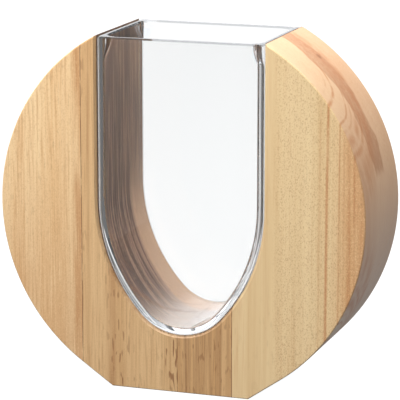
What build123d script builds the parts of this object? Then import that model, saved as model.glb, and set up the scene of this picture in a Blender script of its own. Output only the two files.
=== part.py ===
from build123d import *
import os
from math import atan, cos, radians, sin, sqrt, tan

# A clear glass vessel, U-shaped from the front, standing in a slot cut down through an upright round
# block of edge-glued softwood. Millimetres, +Z up, front towards -Y, origin in the middle of the flat base.

# Wooden block
outline_width = 200.0        # across the round outline
side_radius = 103.0          # each side is one arc, a little flatter than a true circle
block_thickness = 66.0
base_drop = 97.0             # from the widest level of the outline down to the flat base
flank_angle = 34.6           # slope in degrees of the straight flanks that run in to the base
edge_ease = 0.5              # narrow bevel round the front and back faces
slot_ease = 1.3              # wider one along the edges of the slot
corner_radius = 0.8          # ends of the base, seen from the front; the horns are left sharp

# Glue lines between the upright staves, measured sideways from the middle
outer_glue_line = -54.5
middle_glue_line = -1.2
right_glue_line = 28.8

# Slot, open at the top and through both faces
slot_width = 91.8
slot_floor_height = 31.0     # wood left under the lowest point of the slot
slot_spring_rise = 70.0      # from that point up to where the sides turn straight
slot_floor_radius = 29.8     # the tight arc at the bottom of the U

# Glass vessel
glass_wall = 3.0
pane_edge_radius = 2.0       # outer edges round the front and back panes
inner_edge_radius = 1.0      # the same edges inside
lip_ease = 0.8               # narrow bevel on both edges of the rim
mouth_corner_radius = 8.0    # inner corners of the mouth, where the glass is thicker
mouth_blend = 12.0           # height over which they ease back to the inner edges
mouth_band = 1.5             # upright stretch between that and the rim

# Fit of the glass in the wood
side_clearance = 0.7
floor_clearance = 0.3
pane_stand = 0.5             # how far each pane stands proud of the wood
rim_drop = 0.5               # how far the rim lies below the sharp corner of the horns

# Worked out from the sizes above
half_width = outline_width / 2
half_slot = slot_width / 2
arc_centre = half_width - side_radius
horn_height = base_drop + sqrt(side_radius**2 - (half_slot - arc_centre) ** 2)
slot_spring_height = slot_floor_height + slot_spring_rise
rim_height = horn_height - rim_drop
vessel_depth = block_thickness + 2 * pane_stand


def u_curve(half, floor, floor_radius):
    """Draw the right half of a U from its lowest point: a tight arc, then a wide one up to the straight side."""
    run = slot_spring_height - floor - floor_radius
    wide_radius = (half**2 + run**2 - floor_radius**2) / (2 * (half - floor_radius))
    turn = atan(run / (wide_radius - half))
    tight_middle = (radians(90) + turn) / 2
    join = (floor_radius * cos(turn), floor + floor_radius * (1 - sin(turn)))
    on_tight = (floor_radius * cos(tight_middle), floor + floor_radius * (1 - sin(tight_middle)))
    on_wide = (half - wide_radius * (1 - cos(turn / 2)), slot_spring_height - wide_radius * sin(turn / 2))
    ThreePointArc((0, floor), on_tight, join)
    ThreePointArc(join, on_wide, (half, slot_spring_height))


def u_face(half, floor, floor_radius, top):
    """A filled U, symmetrical about the middle, with straight sides up to a level top."""
    with BuildSketch(Plane.XZ) as sketch:
        with BuildLine():
            u_curve(half, floor, floor_radius)
            Line((half, slot_spring_height), (half, top))
            Line((half, top), (0, top))
            mirror(about=Plane.YZ)
        make_face()
    return sketch.sketch


def block_face():
    """Front view of the block: round sides, straight flanks, level base, and the slot between two horns."""
    slope = radians(flank_angle)
    touch_x = arc_centre + side_radius * sin(slope)
    touch_z = base_drop - side_radius * cos(slope)
    with BuildSketch(Plane.XZ) as sketch:
        with BuildLine():
            u_curve(half_slot, slot_floor_height, slot_floor_radius)
            Line((half_slot, slot_spring_height), (half_slot, horn_height))
            ThreePointArc((half_slot, horn_height), (half_width, base_drop), (touch_x, touch_z))
            Line((touch_x, touch_z), (0, touch_z - touch_x * tan(slope)))
            mirror(about=Plane.YZ)
        make_face()
        with Locations((0, -base_drop)):
            Rectangle(2 * outline_width, 2 * base_drop, mode=Mode.SUBTRACT)
        fillet(sketch.vertices().group_by(Axis.Y)[0], corner_radius)
    return sketch.sketch


def slot_only(edges):
    """Those edges of the front and back faces that run along the slot."""
    reach = half_slot + 2 * slot_ease
    lowest = slot_floor_height - 2 * slot_ease
    return edges.filter_by_position(Axis.X, -reach, reach).filter_by_position(Axis.Z, lowest, horn_height)


def wooden_block():
    block = extrude(block_face(), amount=block_thickness / 2, both=True)
    block = chamfer(slot_only(block.faces().filter_by(Axis.Y).edges()), slot_ease)
    edges = block.faces().filter_by(Axis.Y).edges()
    return chamfer(edges - slot_only(edges), edge_ease)


def stave(block, left, right):
    board = Box(right - left, 2 * block_thickness, 4 * side_radius, align=(Align.MIN, Align.CENTER, Align.CENTER))
    return block & Pos(left, 0, 0) * board


def tank(half, floor, floor_radius, depth, edge, top):
    """A solid U between flat panes, with rounded edges and a level top."""
    body = extrude(u_face(half, floor, floor_radius, top), amount=depth / 2, both=True)
    lid = body.faces().sort_by(Axis.Z)[-1]
    return fillet(body.faces().filter_by(Axis.Y).edges() - lid.edges(), edge)


def throat(half, depth, shoulder):
    """The hollow from the shoulder up to the rim. Its corners grow rounder up to a short upright band."""
    sections = []
    for share in (0, 1 / 3, 2 / 3, 1):
        eased = share**2 * (3 - 2 * share)
        corner = inner_edge_radius + (mouth_corner_radius - inner_edge_radius) * eased
        ring = RectangleRounded(2 * half, depth, corner)
        sections.append(Pos(0, 0, shoulder + share * mouth_blend) * ring.face())
    return loft(sections) + extrude(sections[-1], amount=mouth_band)


def glass_vessel():
    half = half_slot - side_clearance
    floor = slot_floor_height + floor_clearance
    floor_radius = slot_floor_radius - floor_clearance
    inner_half = half - glass_wall
    inner_depth = vessel_depth - 2 * glass_wall
    shoulder = rim_height - mouth_band - mouth_blend
    outside = tank(half, floor, floor_radius, vessel_depth, pane_edge_radius, rim_height)
    inside = tank(inner_half, floor + glass_wall, floor_radius - glass_wall, inner_depth, inner_edge_radius, shoulder)
    shell = outside - inside - throat(inner_half, inner_depth, shoulder)
    rim = shell.faces().sort_by(Axis.Z)[-1]
    return chamfer(rim.edges(), lip_ease)


block = wooden_block()
stave_names = ["left_outer_stave", "left_inner_stave", "middle_stave", "right_stave"]
stave_sides = [-outline_width, outer_glue_line, middle_glue_line, right_glue_line, outline_width]
parts = {"glass_vessel": glass_vessel()}
for name, left, right in zip(stave_names, stave_sides, stave_sides[1:]):
    parts[name] = stave(block, left, right)

os.makedirs("parts", exist_ok=True)
for node, shape in parts.items():
    shape.label = node
    export_step(shape, f"parts/{node}.step")
    print(node, len(shape.solids()), "solid,", round(shape.volume / 1000, 1), "cm3")
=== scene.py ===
import math

import bpy
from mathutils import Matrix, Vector


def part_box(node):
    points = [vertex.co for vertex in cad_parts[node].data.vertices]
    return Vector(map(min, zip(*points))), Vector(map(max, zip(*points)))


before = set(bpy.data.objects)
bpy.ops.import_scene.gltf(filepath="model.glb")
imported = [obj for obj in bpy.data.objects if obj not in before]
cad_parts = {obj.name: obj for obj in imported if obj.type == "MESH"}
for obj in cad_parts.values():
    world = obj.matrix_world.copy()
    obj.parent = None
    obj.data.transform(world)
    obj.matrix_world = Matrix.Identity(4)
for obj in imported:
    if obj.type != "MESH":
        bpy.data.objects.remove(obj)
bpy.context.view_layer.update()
staves = {name: node for name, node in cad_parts.items() if name.endswith("stave")}
print("frame loaded,", len(staves), "staves and", len(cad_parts) - len(staves), "vessel")


def paint(red, green, blue):
    # a paint-chart colour, 0 to 255, as the linear value that a shader wants
    linear = [((c / 255 + 0.055) / 1.055) ** 2.4 if c > 10 else c / 3295 for c in (red, green, blue)]
    return (*linear, 1.0)


class Wire:
    # one output socket of a node tree; maths on wires adds Math nodes
    def __init__(self, tree, socket=None):
        self.tree = tree
        self.socket = socket

    def node(self, kind, settings, sockets, out=0):
        made = self.tree.nodes.new(kind)
        for key, value in settings.items():
            setattr(made, key, value)
        for key, value in sockets.items():
            if isinstance(value, Wire):
                self.tree.links.new(value.socket, made.inputs[key])
            else:
                made.inputs[key].default_value = value
        return Wire(self.tree, made.outputs[out] if made.outputs else None)

    def also(self, out):
        return Wire(self.tree, self.socket.node.outputs[out])

    def maths(self, operation, first, second=0.0):
        return self.node("ShaderNodeMath", {"operation": operation}, {0: first, 1: second})

    def __add__(self, other):
        return self.maths("ADD", self, other)

    def __radd__(self, other):
        return self.maths("ADD", other, self)

    def __sub__(self, other):
        return self.maths("SUBTRACT", self, other)

    def __rsub__(self, other):
        return self.maths("SUBTRACT", other, self)

    def __mul__(self, other):
        return self.maths("MULTIPLY", self, other)

    def __rmul__(self, other):
        return self.maths("MULTIPLY", other, self)

    def __truediv__(self, other):
        return self.maths("DIVIDE", self, other)

    def __pow__(self, other):
        return self.maths("POWER", self, other)

    def __abs__(self):
        return self.maths("ABSOLUTE", self)


def rise(value, low, high):
    # 0 below low, 1 above high, eased between
    return value.node("ShaderNodeMapRange", {"interpolation_type": "SMOOTHSTEP"},
                      {"Value": value, "From Min": low, "From Max": high})


def fall(value, low, high):
    return 1 - rise(value, low, high)


def step(value, middle, soft):
    # from 0 to 1 round middle, over soft to either side
    return rise(value, middle - soft, middle + soft)


def ridge(value, middle, halfWidth):
    # 1 at middle, down to 0 at halfWidth to either side
    return fall(abs(value - middle), 0.0, halfWidth)


def blend(factor, under, over):
    return factor.node("ShaderNodeMix", {"data_type": "RGBA"}, {0: factor, 6: under, 7: over}, out=2)


def newMaterial(name):
    material = bpy.data.materials.new(name)
    material.use_nodes = True
    material.node_tree.nodes.clear()
    return material, Wire(material.node_tree)


def objectSpot(start):
    return start.node("ShaderNodeTexCoord", {}, {}, out="Object")


def split(vector):
    # the parts of a vector: across, back and up
    across = vector.node("ShaderNodeSeparateXYZ", {}, {"Vector": vector}, out="X")
    return across, across.also("Y"), across.also("Z")


def noise(place, detail):
    return place.node("ShaderNodeTexNoise", {}, {"Vector": place, "Scale": 1.0, "Detail": detail})


def streaks(start, across, along, shift, detail):
    # noise in cells of that size across and up the grain; shift moves it, so that no two patterns line up
    place = start.node("ShaderNodeMapping", {}, {
        "Vector": objectSpot(start), "Location": (shift, 0.7 * shift, 1.3 * shift),
        "Scale": (1 / across, 1 / across, 1 / along)})
    return noise(place, detail)


# Wood. Lengths are in metres. A pair of numbers is the range over which a tone comes or goes: levels of the
# noise, or heights where its name says so.
pineLook = {
    "roughness": 0.50, "streakSheen": 0.25, "poreDull": 0.20, "coat": 0.08, "coatRoughness": 0.30,
    "bump": 0.10, "bumpDepth": 0.0006, "bumpGrain": 0.6,
    "wander": 0.005, "layerLength": 0.30, "layerDetail": 3.0, "layerMiddle": 0.5, "layerHalf": 0.07,
    "broadShare": 0.45, "layerShare": 0.35, "streakShare": 0.20,
    "tanFrom": (0.34, 0.66), "lateFrom": (0.30, 0.70),
    "lowBrownTone": paint(206, 150, 96), "lowBrownHeights": (0.02, 0.15),
    "orangeTone": paint(216, 146, 84), "orangeReach": 0.012, "orange": 0.42,
    "edgeFacing": (0.3, 0.8),                          # how squarely a face looks forwards or back
    # painted reflection: a grey-white sheen low on the rounded edge
    "lowEdgeSheen": paint(226, 214, 208), "lowEdgeSheenHeights": (0.04, 0.13),
    "lowEdgeSheenLeast": 0.25, "lowEdgeSheenStreak": 0.50,
    "heartLeast": 0.55, "heartStreak": 0.45,
    "knotTone": paint(122, 76, 40), "knot": 0.8, "knotCore": 0.3,
    "lineFrom": (0.25, 0.60), "lineShift": 1000.0,
    "clusterLeast": 0.45, "clusterMore": 0.55, "clusterFrom": (0.40, 0.60),
    "fibreDarkFrom": (0.50, 0.68), "fibrePaleFrom": (0.32, 0.50),
    "poreTone": paint(184, 132, 80), "poreReach": 0.006,
    "poreDarkFrom": (0.52, 0.72), "porePaleFrom": (0.26, 0.44),
    "fleckTone": paint(136, 82, 42), "fleckFrom": (0.63, 0.74), "fleckPatchFrom": (0.35, 0.60),
    "seamTone": paint(132, 80, 42), "seamHalf": 0.00040, "seamFrom": (0.30, 0.55),
}
grainLook = {                                          # cell across, cell along, shift, detail
    "wander": (0.030, 0.20, 50.0, 1.0),
    "broad": (0.016, 0.30, 0.0, 1.0),
    "streak": (0.0022, 0.16, 5.0, 3.0),
    "fibre": (0.0007, 0.030, 9.0, 2.0),
    "pore": (0.0005, 0.0008, 2.0, 1.0),
    "mellow": (0.03, 0.08, 13.0, 1.0),
    "heart": (0.014, 0.016, 21.0, 2.0),
    "line": (0.006, 0.05, 0.0, 2.0),
    "cluster": (0.008, 0.05, 29.0, 2.0),
    "fleck": (0.0011, 0.0060, 4.0, 0.0),
    "seam": (0.004, 0.007, 17.0, 2.0),
}
slotStreaksAndPaintedLight = {                                           # the wall and floor of the slot: its streaks, with painted shade on the wall and painted light on the floor and along the back
    "half": 0.0459, "halfSoft": 0.0005, "heights": (0.01, 0.02), "cover": 0.9,
    "streakAcross": 0.0022, "streakAlong": 0.05, "streakDetail": 2.0, "streakFrom": (0.34, 0.56),
    # painted shade: the wall's mid and dark tones are darker than the wood, for the shade in the slot
    "mid": paint(206, 160, 130), "dark": paint(96, 56, 38),
    # painted light: the pale tone of the slot's floor
    "floor": paint(255, 228, 206), "litFloorHeights": (0.030, 0.050), "litFloorShare": 0.75,
    # painted light: the pale strip along the back of the slot wall
    "pale": paint(255, 208, 166), "litBackFrom": 0.0125, "litBackSoft": 0.002, "litBackWave": 0.008,
    "litBackHeights": (0.070, 0.125), "litBackFade": 0.75,
    # painted shade: the darker tone of the upper slot wall
    "high": paint(110, 88, 78), "shadedTopHeights": (0.085, 0.150), "shadedTopShare": 0.6,
}
# One dictionary for each stave. Lines are (place across the front, half width, strength); on the right stave,
# which is cut close to the heart of the tree, the place is the distance out from the heart.
staveLooks = {
    "left_outer_stave": {
        "shift": 3.0, "tilt": 0.30, "spacing": 0.0070, "layers": 0.10, "fibres": 0.42,
        "pale": paint(255, 223, 173), "tan": paint(240, 196, 140), "late": paint(196, 136, 80), "lowBrownShare": 0.50,
        "lines": [(-0.0568, 0.0036, 0.75), (-0.0550, 0.0012, 0.45), (-0.0640, 0.0030, 0.16),
                  (-0.0900, 0.0050, 0.18)],
        "edged": 0.85, "edgeTone": paint(206, 160, 122), "seams": [-0.0545],
        "pores": 0.22, "poresFrom": -0.12, "flecks": 0.12,
    },
    "left_inner_stave": {
        "shift": 11.0, "tilt": -0.80, "spacing": 0.0065, "layers": 0.22, "fibres": 0.40,
        "pale": paint(236, 196, 143), "tan": paint(214, 169, 115), "late": paint(172, 116, 66),
        "lines": [(-0.0505, 0.0012, 0.35), (-0.0385, 0.0034, 0.60), (-0.0270, 0.0020, 0.16),
                  (-0.0060, 0.0016, 0.20)],
        "edged": 0.55, "edgeTone": paint(236, 188, 152), "seams": [-0.0545, -0.0012],
        "pores": 0.22, "poresFrom": -0.12, "flecks": 0.75,
    },
    "middle_stave": {
        "shift": 23.0, "tilt": 0.50, "spacing": 0.0045, "layers": 0.34, "fibres": 0.36,
        "pale": paint(226, 182, 128), "tan": paint(202, 152, 97), "late": paint(142, 92, 50),
        "lines": [(0.0036, 0.0012, 0.60), (0.0098, 0.0009, 0.40), (0.0154, 0.0016, 0.65),
                  (0.0232, 0.0009, 0.40)],
        "edged": 0.55, "edgeTone": paint(236, 188, 152), "seams": [-0.0012, 0.0288],
        "pores": 0.12, "poresFrom": -0.12, "flecks": 0.45,
    },
    "right_stave": {
        "shift": 37.0, "pith": (0.047, -0.033), "flatten": 1.1, "corner": 3.0,
        "spacing": 0.0075, "layers": 0.08, "fibres": 0.16,
        "pale": paint(250, 221, 170), "tan": paint(234, 198, 144), "late": paint(200, 122, 62),
        "orangeFrom": 0.0320,
        "lines": [(0.0285, 0.0008, 0.25), (0.0321, 0.0012, 0.75), (0.0387, 0.0007, 0.65),
                  (0.0412, 0.0008, 0.35), (0.0440, 0.0022, 0.55), (0.0468, 0.0012, 0.60),
                  (0.0505, 0.0050, 0.45)],
        "edged": 0.55, "edgeTone": paint(236, 188, 152), "seams": [0.0288],
        "pores": 0.46, "poresFrom": 0.049, "flecks": 0.08,
        "heart": {"tone": paint(196, 138, 96), "middle": 0.0022, "half": 0.0080, "soft": 0.0008,
                  "ragged": 0.010, "foot": 0.119, "footSoft": 0.003},
        "knot": {"place": (0.0628, 0.0072, 0.1763), "size": 0.0026},
    },
}


def grain(start, kind, shift):
    across, along, offset, detail = grainLook[kind]
    return streaks(start, across, along, shift + offset, detail)


def growthLayers(start, look, front):
    # how far across the tree's growth layers a spot lies, in metres, with the slow wander of a real tree
    across, depth, up = split(objectSpot(start))
    wander = (grain(start, "wander", look["shift"]) - 0.5) * pineLook["wander"]
    if "pith" in look:
        pithX, pithY = look["pith"]
        sideways = abs(across - pithX) ** look["corner"]
        inwards = abs((depth - pithY) * look["flatten"]) ** look["corner"]
        rings = (sideways + inwards) ** (1 / look["corner"])
    else:
        rings = across + (depth - front) * look["tilt"]
    return rings + wander, across, depth, up


def heartWood(start, look, depth, up):
    # the brown heart of the tree, which comes out on the rounded edge as a ragged band with a blunt foot
    heart = look["heart"]
    ragged = (grain(start, "heart", look["shift"]) - 0.5) * heart["ragged"]
    band = 1 - step(abs(depth + ragged - heart["middle"]), heart["half"], heart["soft"])
    return band * step(up + ragged, heart["foot"], heart["footSoft"])


def smallKnot(start, knot):
    away = start.node("ShaderNodeVectorMath", {"operation": "DISTANCE"},
                      {0: objectSpot(start), 1: knot["place"]}, out="Value")
    return fall(away / knot["size"], pineLook["knotCore"], 1.0)


def paintedSlotLightAndShade(start, across, depth, up):
    # where the slot is, and its tone: dark streaks that run down and round, which are painted shade over the
    # wood's own streaks, a pale floor and a pale strip along the back, which are painted light, and a darker
    # top, which is painted shade
    along = slotStreaksAndPaintedLight["streakAlong"]
    lane = start.node("ShaderNodeCombineXYZ", {}, {
        "X": depth / slotStreaksAndPaintedLight["streakAcross"], "Y": across / along, "Z": up / along})
    wallStreaks = noise(lane, slotStreaksAndPaintedLight["streakDetail"])
    inside = fall(abs(across), slotStreaksAndPaintedLight["half"], slotStreaksAndPaintedLight["half"] + slotStreaksAndPaintedLight["halfSoft"])
    inside = inside * rise(up, *slotStreaksAndPaintedLight["heights"]) * slotStreaksAndPaintedLight["cover"]
    # painted shade over the wood's own streaks: the wall goes from a mid tone to a dark one along the streaks
    tone = blend(rise(wallStreaks, *slotStreaksAndPaintedLight["streakFrom"]), slotStreaksAndPaintedLight["mid"], slotStreaksAndPaintedLight["dark"])
    # painted light: the floor of the slot is paler towards the bottom
    tone = blend(fall(up, *slotStreaksAndPaintedLight["litFloorHeights"]) * slotStreaksAndPaintedLight["litFloorShare"], tone, slotStreaksAndPaintedLight["floor"])
    # painted light: a pale strip along the back of the wall, its front edge waved by the streaks, fading
    # towards the top
    back = step(depth + (wallStreaks - 0.5) * slotStreaksAndPaintedLight["litBackWave"], slotStreaksAndPaintedLight["litBackFrom"], slotStreaksAndPaintedLight["litBackSoft"])
    back = back * (1 - slotStreaksAndPaintedLight["litBackFade"] * rise(up, *slotStreaksAndPaintedLight["litBackHeights"]))
    tone = blend(back, tone, slotStreaksAndPaintedLight["pale"])
    # painted shade: the wall is darker towards the top
    tone = blend(rise(up, *slotStreaksAndPaintedLight["shadedTopHeights"]) * slotStreaksAndPaintedLight["shadedTopShare"], tone, slotStreaksAndPaintedLight["high"])
    return inside, tone


def pineMaterial(name, look):
    material, start = newMaterial("pine_" + name)
    shift = look["shift"]
    rings, across, depth, up = growthLayers(start, look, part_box(name)[0][1])
    rungs = start.node("ShaderNodeCombineXYZ", {}, {
        "X": rings / look["spacing"], "Y": shift, "Z": up / pineLook["layerLength"]})
    layer = noise(rungs, pineLook["layerDetail"])
    streak = grain(start, "streak", shift)
    mellow = grain(start, "mellow", shift)
    facing = split(start.node("ShaderNodeNewGeometry", {}, {}, out="Normal"))[1]
    edge = fall(abs(facing), *pineLook["edgeFacing"])

    # the tones of the board
    tan = grain(start, "broad", shift) * pineLook["broadShare"]
    tan = tan + layer * pineLook["layerShare"] + streak * pineLook["streakShare"]
    colour = blend(rise(tan, *pineLook["tanFrom"]), look["pale"], look["tan"])
    late = ridge(layer, pineLook["layerMiddle"], pineLook["layerHalf"]) * look["layers"]
    colour = blend(late * rise(mellow, *pineLook["lateFrom"]), colour, look["late"])
    if "lowBrownShare" in look:
        # darker and browner towards the bottom of the stave
        colour = blend(fall(up, *pineLook["lowBrownHeights"]) * look["lowBrownShare"], colour, pineLook["lowBrownTone"])
    if "orangeFrom" in look:
        orange = rise(rings, look["orangeFrom"], look["orangeFrom"] + pineLook["orangeReach"])
        colour = blend(orange * pineLook["orange"], colour, pineLook["orangeTone"])

    # its rounded edge, with a painted reflection low on it, and the slot, with its painted light and shade
    colour = blend(edge * look["edged"], colour, look["edgeTone"])
    # painted reflection: a streaky grey-white sheen low on the rounded edge
    lowEdgeSheen = pineLook["lowEdgeSheenLeast"] + pineLook["lowEdgeSheenStreak"] * streak
    colour = blend(edge * fall(up, *pineLook["lowEdgeSheenHeights"]) * lowEdgeSheen, colour, pineLook["lowEdgeSheen"])
    # the slot's tone carries painted light and shade
    inSlot, slotPaintedTone = paintedSlotLightAndShade(start, across, depth, up)
    colour = blend(inSlot * edge, colour, slotPaintedTone)
    if "heart" in look:
        heart = heartWood(start, look, depth, up) * edge
        heart = heart * (pineLook["heartLeast"] + pineLook["heartStreak"] * streak)
        colour = blend(heart, colour, look["heart"]["tone"])
    if "knot" in look:
        colour = blend(smallKnot(start, look["knot"]) * pineLook["knot"], colour, pineLook["knotTone"])

    # dark growth lines, then fibres, pores, flecks and glue lines
    for where, halfWidth, strength in look["lines"]:
        patchy = rise(grain(start, "line", shift + pineLook["lineShift"] * where), *pineLook["lineFrom"])
        colour = blend(ridge(rings, where, halfWidth) * patchy * strength, colour, look["late"])
    fibre = grain(start, "fibre", shift)
    cluster = rise(grain(start, "cluster", shift), *pineLook["clusterFrom"])
    clustered = look["fibres"] * (pineLook["clusterLeast"] + pineLook["clusterMore"] * cluster)
    colour = blend(rise(fibre, *pineLook["fibreDarkFrom"]) * clustered, colour, look["late"])
    colour = blend(fall(fibre, *pineLook["fibrePaleFrom"]) * clustered, colour, look["pale"])
    speck = grain(start, "pore", shift)
    porous = rise(across, look["poresFrom"], look["poresFrom"] + pineLook["poreReach"])
    porous = porous * (1 - edge) * look["pores"]
    pores = rise(speck, *pineLook["poreDarkFrom"]) * porous
    colour = blend(pores, colour, pineLook["poreTone"])
    colour = blend(fall(speck, *pineLook["porePaleFrom"]) * porous, colour, look["pale"])
    flecks = rise(grain(start, "fleck", shift), *pineLook["fleckFrom"])
    flecks = flecks * rise(mellow, *pineLook["fleckPatchFrom"])
    colour = blend(flecks * (1 - edge) * look["flecks"], colour, pineLook["fleckTone"])
    broken = rise(grain(start, "seam", shift), *pineLook["seamFrom"])
    for seam in look["seams"]:
        colour = blend(ridge(across, seam, pineLook["seamHalf"]) * broken, colour, pineLook["seamTone"])

    height = fibre * pineLook["bumpGrain"] + streak * pineLook["bumpGrain"] - pores - flecks
    relief = start.node("ShaderNodeBump", {}, {
        "Strength": pineLook["bump"], "Distance": pineLook["bumpDepth"], "Height": height})
    sheen = pineLook["roughness"] + (streak - 0.5) * pineLook["streakSheen"] + pores * pineLook["poreDull"]
    surface = start.node("ShaderNodeBsdfPrincipled", {}, {
        "Base Color": colour, "Roughness": sheen, "Coat Weight": pineLook["coat"],
        "Coat Roughness": pineLook["coatRoughness"], "Normal": relief})
    start.node("ShaderNodeOutputMaterial", {}, {"Surface": surface})
    return material


for name, node in staves.items():
    node.data.materials[0] = pineMaterial(name, staveLooks[name])
print("pine on", len(staves), "staves")


# Clear glass. Patterns are cell across, cell along, shift, detail.
glassLook = {
    "tint": (0.952, 0.957, 0.957, 1.0), "ior": 1.50,
    # painted reflection: a grey band on the top of the rim, for the dark lines that the lip's reflections
    # draw
    "rimPaintedReflection": (0.36, 0.37, 0.39, 1.0), "rimHeight": 0.0010, "rimFade": 0.0007,
    "ripple": 0.012, "rippleDepth": 0.002, "ripplePattern": (0.022, 0.045, 71.0, 1.0),
    "haze": 0.02, "hazeFrom": (0.60, 0.95), "hazePattern": (0.004, 0.006, 77.0, 2.0),
}


def glassMaterial():
    material, start = newMaterial("clear_glass_vessel")
    relief = start.node("ShaderNodeBump", {}, {
        "Strength": glassLook["ripple"], "Distance": glassLook["rippleDepth"],
        "Height": streaks(start, *glassLook["ripplePattern"])})
    haze = rise(streaks(start, *glassLook["hazePattern"]), *glassLook["hazeFrom"])
    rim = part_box("glass_vessel")[1][2]
    up = split(objectSpot(start))[2]
    # painted reflection: the top of the rim is greyed to draw a dark rim line
    onRim = rise(up, rim - glassLook["rimHeight"], rim - glassLook["rimFade"])
    surface = start.node("ShaderNodeBsdfPrincipled", {}, {
        "Base Color": blend(onRim, glassLook["tint"], glassLook["rimPaintedReflection"]),
        "Roughness": haze * glassLook["haze"], "IOR": glassLook["ior"],
        "Transmission Weight": 1.0, "Normal": relief})
    start.node("ShaderNodeOutputMaterial", {}, {"Surface": surface})
    return material


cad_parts["glass_vessel"].data.materials[0] = glassMaterial()
print("glass on the vessel")


# A white room to look through, and a dim one for the wood. In the glass's mirror only the back left and the
# top are white, as with grey cards round the other sides of a product table.
floorLook = {"size": 12.0, "drop": 0.0002, "tone": 0.10, "roughness": 0.9, "glow": 0.98}
skyLook = {
    "tint": (0.97, 1.0, 1.04, 1.0), "backdrop": 1.1,
    "below": 0.20, "above": 0.42, "horizon": (-0.4, 0.6), "behind": 0.40,
    "inside": 4.4, "surfaces": (4.2, 5.8),         # added for wood seen through this many surfaces of glass
}
mirrorLook = {
    "card": 0.10, "wall": 1.6, "wallSoft": 0.12, "ceiling": (0.05, 0.85),
    "strip": 1.40, "strips": [(-0.45, 0.30), (0.03, 0.10)],        # sideways for each metre back, half width
    "stripNear": 0.05, "stripFade": 0.1,
}
softboxes = {                                      # from where, size, watts; aimed at the middle of the block
    "key": ((-0.35, -0.55, 0.75), 0.6, 8.5),
    "top": ((0.1, 0.1, 1.5), 1.0, 18.5),
}
blockMiddle = Vector((0, 0, 0.097))


def met(start, kind):
    # how often light has met something in that way, such as "Diffuse Depth" or "Glossy Depth"
    return start.node("ShaderNodeLightPath", {}, {}, out=kind)


def bounced(start, kind):
    return rise(met(start, kind), 0.0, 1.0)


def backLeft(spot):
    # 1 behind the block on the left, 0 to the right of it and in front
    across, depth = split(spot)[:2]
    soft = mirrorLook["wallSoft"]
    return fall(across, -soft, 2 * soft) * rise(depth, -soft, soft)


def stripLights(spot):
    # white strips that run away behind the block, which draw the fine lines in the edges of the glass
    across, depth = split(spot)[:2]
    slant = across / spot.maths("MAXIMUM", depth, mirrorLook["stripNear"])
    light = rise(depth, 0.0, mirrorLook["stripFade"])
    return light * sum(ridge(slant, place, halfWidth) for place, halfWidth in mirrorLook["strips"])


def floorFinish():
    material, start = newMaterial("studio_floor")
    mirror = bounced(start, "Glossy Depth")
    strips = stripLights(objectSpot(start))
    mirrored = mirrorLook["card"] + strips * (mirrorLook["strip"] - mirrorLook["card"])
    glow = floorLook["glow"] + mirror * (mirrored - floorLook["glow"])
    glow = (1 - bounced(start, "Diffuse Depth")) * glow
    glowTone = start.node("ShaderNodeCombineColor", {}, {"Red": glow, "Green": glow, "Blue": glow})
    grey = (floorLook["tone"],) * 3 + (1.0,)
    surface = start.node("ShaderNodeBsdfPrincipled", {}, {
        "Base Color": blend(mirror, grey, (0, 0, 0, 1)), "Roughness": floorLook["roughness"],
        "Emission Color": glowTone, "Emission Strength": 1.0})
    start.node("ShaderNodeOutputMaterial", {}, {"Surface": surface})
    return material


def studioSky():
    world = bpy.data.worlds.new("studio")
    world.use_nodes = True
    world.node_tree.nodes.clear()
    start = Wire(world.node_tree)
    spot = start.node("ShaderNodeTexCoord", {}, {}, out="Generated")
    depth, up = split(spot)[1:]
    dim = skyLook["below"] + rise(up, *skyLook["horizon"]) * (skyLook["above"] - skyLook["below"])
    dim = dim + rise(depth, 0.0, 1.0) * skyLook["behind"]
    dim = dim + rise(met(start, "Transmission Depth"), *skyLook["surfaces"]) * skyLook["inside"]
    mirrored = mirrorLook["card"] + backLeft(spot) * (mirrorLook["wall"] - mirrorLook["card"])
    mirror = bounced(start, "Glossy Depth") * fall(up, *mirrorLook["ceiling"])
    white = skyLook["backdrop"] + mirror * (mirrored - skyLook["backdrop"])
    onWood = bounced(start, "Diffuse Depth")
    light = start.node("ShaderNodeBackground", {}, {
        "Color": skyLook["tint"], "Strength": onWood * dim + (1 - onWood) * white})
    start.node("ShaderNodeOutputWorld", {}, {"Surface": light})
    return world


scene = bpy.context.scene
bpy.ops.object.select_all(action="DESELECT")
bpy.ops.mesh.primitive_plane_add(size=floorLook["size"], location=(0, 0, -floorLook["drop"]))
floor = bpy.context.object
floor.name = "studio_floor"
floor.visible_diffuse = False                      # the block's underside stays in shade
floor.data.materials.append(floorFinish())
scene.world = studioSky()
for name, (place, size, watts) in softboxes.items():
    bpy.ops.object.light_add(type="AREA", location=place)
    softbox = bpy.context.object
    softbox.name = "softbox_" + name
    softbox.data.size = size
    softbox.data.energy = watts
    softbox.visible_transmission = False           # no hard white square in the glass
    softbox.rotation_euler = (blockMiddle - Vector(place)).to_track_quat("-Z", "Y").to_euler()
print("floor and light set")


# Camera at the photograph's angle
cameraLook = {"azimuth": 19.10, "elevation": 12.50, "distance": 1.277, "lens": 216.5, "sensor": 36.0}
bounceLook = {"all": 32, "mirrored": 20, "throughGlass": 24}   # light runs far along the glass to its edges
turn = math.radians(cameraLook["azimuth"])
lift = math.radians(cameraLook["elevation"])
back = Vector((math.sin(turn) * math.cos(lift), -math.cos(turn) * math.cos(lift), math.sin(lift)))
bpy.ops.object.camera_add(location=blockMiddle + back * cameraLook["distance"],
                          rotation=(math.pi / 2 - lift, 0, turn))
camera = bpy.context.object
camera.data.lens = cameraLook["lens"]
camera.data.sensor_width = cameraLook["sensor"]
scene.camera = camera
scene.view_settings.view_transform = "Standard"
scene.cycles.max_bounces = bounceLook["all"]
scene.cycles.glossy_bounces = bounceLook["mirrored"]
scene.cycles.transmission_bounces = bounceLook["throughGlass"]
print("camera set")
